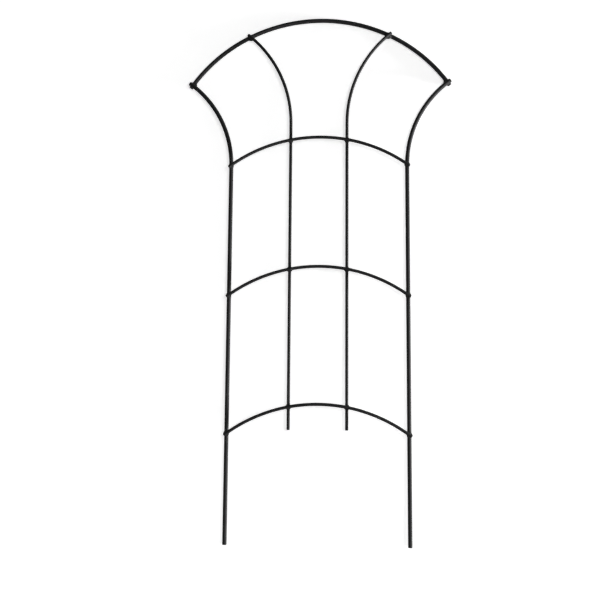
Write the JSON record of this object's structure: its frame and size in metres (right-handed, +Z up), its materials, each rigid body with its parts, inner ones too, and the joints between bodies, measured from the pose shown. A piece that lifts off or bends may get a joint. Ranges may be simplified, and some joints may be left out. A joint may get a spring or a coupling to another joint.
{
  "type": "espalier frame",
  "caption": "Flat arched garden panel of welded round steel rods: stakes that flare out at the top, inner uprights, curved crossbars and a top arch, to train a climbing plant.",
  "frame": {"origin": "midway between the tips of the two stakes, in the middle of the panel's depth", "axes": "+Z up the panel, from the stake tips to the arch; +X across it, to the right seen from the front; -Y is the front, the side the crossbars lie on"},
  "size_m": [0.5058, 0.0226, 0.9999],
  "materials": {
    "black_coating": "satin black powder coat",
    "weld_coating": "satin black powder coat over weld beads"
  },
  "bodies": {
    "root": {"right_outer_upright": "black_coating", "left_outer_upright": "black_coating", "right_inner_upright": "black_coating", "left_inner_upright": "black_coating", "top_arch": "black_coating", "lower_crossbar": "black_coating", "middle_crossbar": "black_coating", "upper_crossbar": "black_coating", "right_lower_outer_weld": "weld_coating", "left_lower_outer_weld": "weld_coating", "right_lower_inner_weld": "weld_coating", "left_lower_inner_weld": "weld_coating", "right_middle_outer_weld": "weld_coating", "left_middle_outer_weld": "weld_coating", "right_middle_inner_weld": "weld_coating", "left_middle_inner_weld": "weld_coating", "right_upper_outer_weld": "weld_coating", "left_upper_outer_weld": "weld_coating", "right_upper_inner_weld": "weld_coating", "left_upper_inner_weld": "weld_coating", "right_arch_outer_weld": "weld_coating", "left_arch_outer_weld": "weld_coating", "right_arch_inner_weld": "weld_coating", "left_arch_inner_weld": "weld_coating"}
  },
  "joints": []
}
